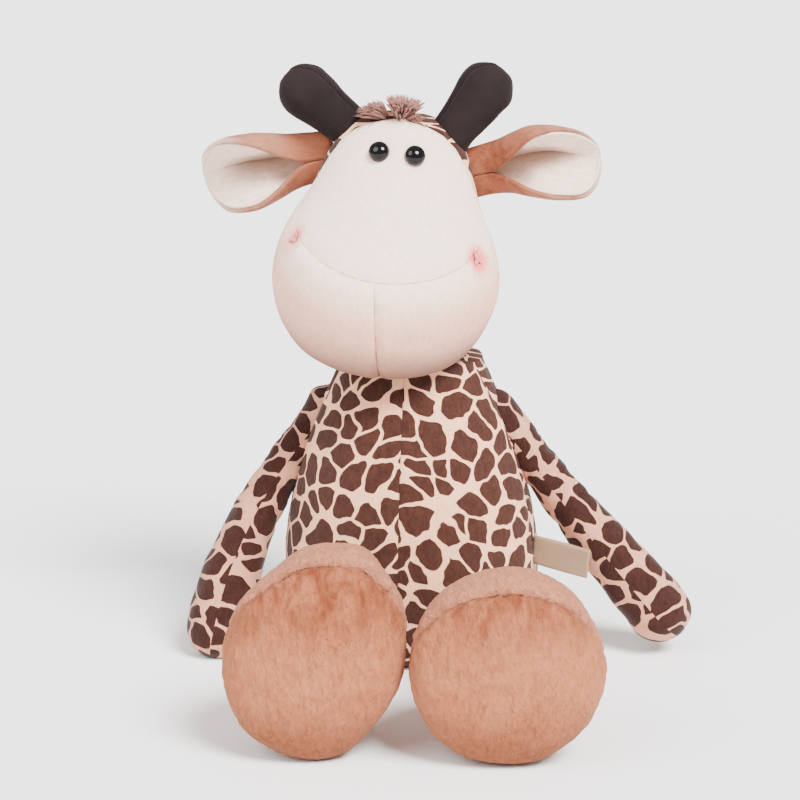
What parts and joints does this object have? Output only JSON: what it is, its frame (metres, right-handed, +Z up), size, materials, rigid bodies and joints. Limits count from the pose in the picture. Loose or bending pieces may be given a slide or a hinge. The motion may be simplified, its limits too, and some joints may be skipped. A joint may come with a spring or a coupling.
{
  "type": "plush toy giraffe",
  "caption": "Seated stuffed giraffe with a pear-shaped body, big muzzle, stuffed horns, folded ears, dangling arms and large round feet; head, limbs, ears, horns and tail move.",
  "frame": {"origin": "middle of the toy's flat seat, on the surface that it sits on", "axes": "+Z up towards the horns, -Y the way the toy faces, +X towards its own left arm"},
  "size_m": [0.2526, 0.2835, 0.2964],
  "materials": {
    "spotted_plush": "short-pile plush printed with brown giraffe spots on cream",
    "cream_plush": "smooth short-pile plush",
    "tan_plush": "brushed medium-pile plush",
    "dark_plush": "short velvety plush",
    "hair_pile": "long tufted pile",
    "stuffing": "white polyester fibre",
    "pellets": "plastic pellets in a cloth pouch",
    "black_plastic": "polished black",
    "washer_plastic": "plain moulded",
    "pink_thread": "soft embroidery",
    "ribbon": "bare cream satin ribbon"
  },
  "bodies": {
    "torso": {"body_front_left": "spotted_plush", "body_front_right": "spotted_plush", "body_back": "spotted_plush", "body_stuffing": "stuffing", "bean_pouch": "pellets"},
    "neck": {"neck_wad": "spotted_plush"},
    "head": {"head_back": "spotted_plush", "face": "cream_plush", "muzzle_left": "cream_plush", "muzzle_right": "cream_plush", "head_stuffing": "stuffing", "eye_left": "black_plastic", "eye_right": "black_plastic", "eye_washer_left": "washer_plastic", "eye_washer_right": "washer_plastic", "nostril_left": "pink_thread", "nostril_right": "pink_thread", "hair": "hair_pile"},
    "left_horn": {"horn_left": "dark_plush", "horn_stuffing_left": "stuffing"},
    "right_horn": {"horn_right": "dark_plush", "horn_stuffing_right": "stuffing"},
    "left_ear": {"ear_back_left": "tan_plush", "ear_lining_left": "cream_plush"},
    "right_ear": {"ear_back_right": "tan_plush", "ear_lining_right": "cream_plush"},
    "left_arm": {"arm_left": "spotted_plush", "arm_stuffing_left": "stuffing"},
    "right_arm": {"arm_right": "spotted_plush", "arm_stuffing_right": "stuffing"},
    "left_leg": {"leg_left": "spotted_plush", "leg_stuffing_left": "stuffing", "foot_upper_left": "tan_plush", "sole_left": "tan_plush", "foot_stuffing_left": "stuffing"},
    "right_leg": {"leg_right": "spotted_plush", "leg_stuffing_right": "stuffing", "foot_upper_right": "tan_plush", "sole_right": "tan_plush", "foot_stuffing_right": "stuffing"},
    "tail": {"tail": "spotted_plush", "tail_tuft": "hair_pile"},
    "side_label": {"label": "ribbon"}
  },
  "joints": [
    {"name": "head_turn", "type": "hinge", "parent": "torso", "child": "neck", "pos_m": [-0.00324, 0.00644, 0.15], "axis": [0, 0, 1], "range_deg": [-35, 35], "stiffness_Nm_per_rad": 0.03},
    {"name": "head_nod", "type": "hinge", "parent": "neck", "child": "head", "pos_m": [-0.00324, 0.00644, 0.15], "axis": [0.9925, -0.1219, 0], "range_deg": [-12, 8], "stiffness_Nm_per_rad": 0.12, "springref_deg": -5.73},
    {"name": "left_shoulder_raise", "type": "hinge", "parent": "torso", "child": "left_arm", "pos_m": [0.04281, -0.00123, 0.122], "axis": [-0.1219, -0.9925, 0], "range_deg": [0, 75]},
    {"name": "right_shoulder_raise", "type": "hinge", "parent": "torso", "child": "right_arm", "pos_m": [-0.04184, 0.00917, 0.122], "axis": [0.1219, 0.9925, 0], "range_deg": [0, 75]},
    {"name": "left_hip_lift", "type": "hinge", "parent": "torso", "child": "left_leg", "pos_m": [0.02914, -0.04164, 0.021], "axis": [-1, 0, 0], "range_deg": [-55, 25]},
    {"name": "right_hip_lift", "type": "hinge", "parent": "torso", "child": "right_leg", "pos_m": [-0.03835, -0.03335, 0.021], "axis": [-1, 0, 0], "range_deg": [-55, 25]},
    {"name": "left_ear_flap", "type": "hinge", "parent": "head", "child": "left_ear", "pos_m": [0.03019, 0.0031, 0.23948], "axis": [-0.2174, -0.1932, 0.9568], "range_deg": [-20, 20], "stiffness_Nm_per_rad": 0.02},
    {"name": "right_ear_flap", "type": "hinge", "parent": "head", "child": "right_ear", "pos_m": [-0.04232, 0.00817, 0.24712], "axis": [-0.1334, -0.1991, 0.9709], "range_deg": [-20, 20], "stiffness_Nm_per_rad": 0.02},
    {"name": "left_horn_bend", "type": "hinge", "parent": "head", "child": "left_horn", "pos_m": [0.01532, 0.00214, 0.25561], "axis": [0.7967, -0.0557, -0.6018], "range_deg": [-15, 15], "stiffness_Nm_per_rad": 0.05},
    {"name": "right_horn_bend", "type": "hinge", "parent": "head", "child": "right_horn", "pos_m": [-0.0247, 0.00494, 0.25983], "axis": [0.6278, -0.0439, 0.7771], "range_deg": [-15, 15], "stiffness_Nm_per_rad": 0.05},
    {"name": "tail_swing", "type": "hinge", "parent": "torso", "child": "tail", "pos_m": [0.00726, 0.05916, 0.038], "axis": [0, 0, 1], "range_deg": [-45, 45], "stiffness_Nm_per_rad": 0.005},
    {"name": "label_flap", "type": "hinge", "parent": "torso", "child": "side_label", "pos_m": [0.06189, -0.01465, 0.0545], "axis": [-0.0762, 0.0423, -0.9962], "range_deg": [0, 50], "stiffness_Nm_per_rad": 0.001}
  ]
}
